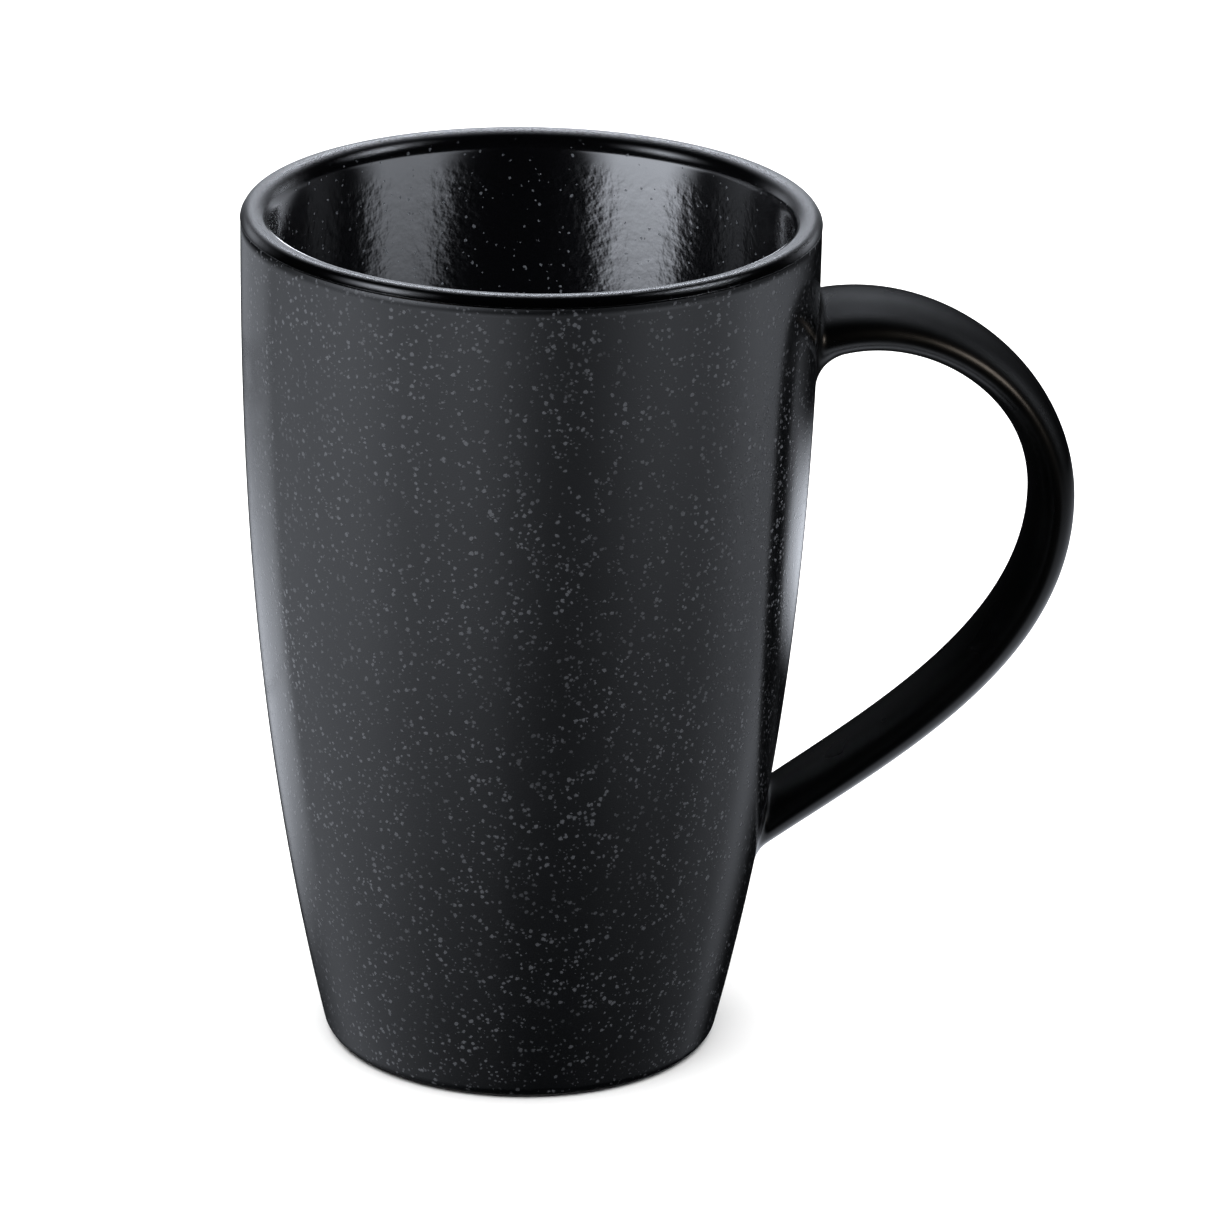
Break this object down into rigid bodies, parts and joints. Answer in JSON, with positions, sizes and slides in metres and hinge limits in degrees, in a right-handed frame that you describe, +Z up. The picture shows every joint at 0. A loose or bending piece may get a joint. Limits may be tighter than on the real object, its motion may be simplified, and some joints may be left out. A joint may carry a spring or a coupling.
{
  "type": "ceramic mug",
  "caption": "Tall tapered ceramic mug with a strap handle, a speckled matt outside and a glossy liner over the rim.",
  "frame": {"origin": "on the surface that the mug stands on, under the middle of the whole mug, handle included; the cup's axis is 19.1 mm towards -X from it", "axes": "+Z up along the cup's axis, towards the rim; +X towards the handle; +Y across the handle, with the mug symmetric about Y = 0"},
  "size_m": [0.1204, 0.0822, 0.125],
  "materials": {
    "cup_clay": "bare fired stoneware, dry and matt",
    "handle_clay": "bare fired stoneware, dry and matt",
    "joint_slip": "fired slip, dry and matt",
    "liner_glaze": "glossy black with a few fine specks",
    "exterior_glaze": "matt charcoal with pale grey specks",
    "handle_glaze": "satin black without specks",
    "base_glaze": "satin black"
  },
  "bodies": {
    "root": {"cup_body": "cup_clay", "handle_core": "handle_clay", "upper_joint_slip": "joint_slip", "lower_joint_slip": "joint_slip", "liner_glaze": "liner_glaze", "exterior_glaze": "exterior_glaze", "handle_glaze": "handle_glaze", "base_glaze": "base_glaze"}
  },
  "joints": []
}
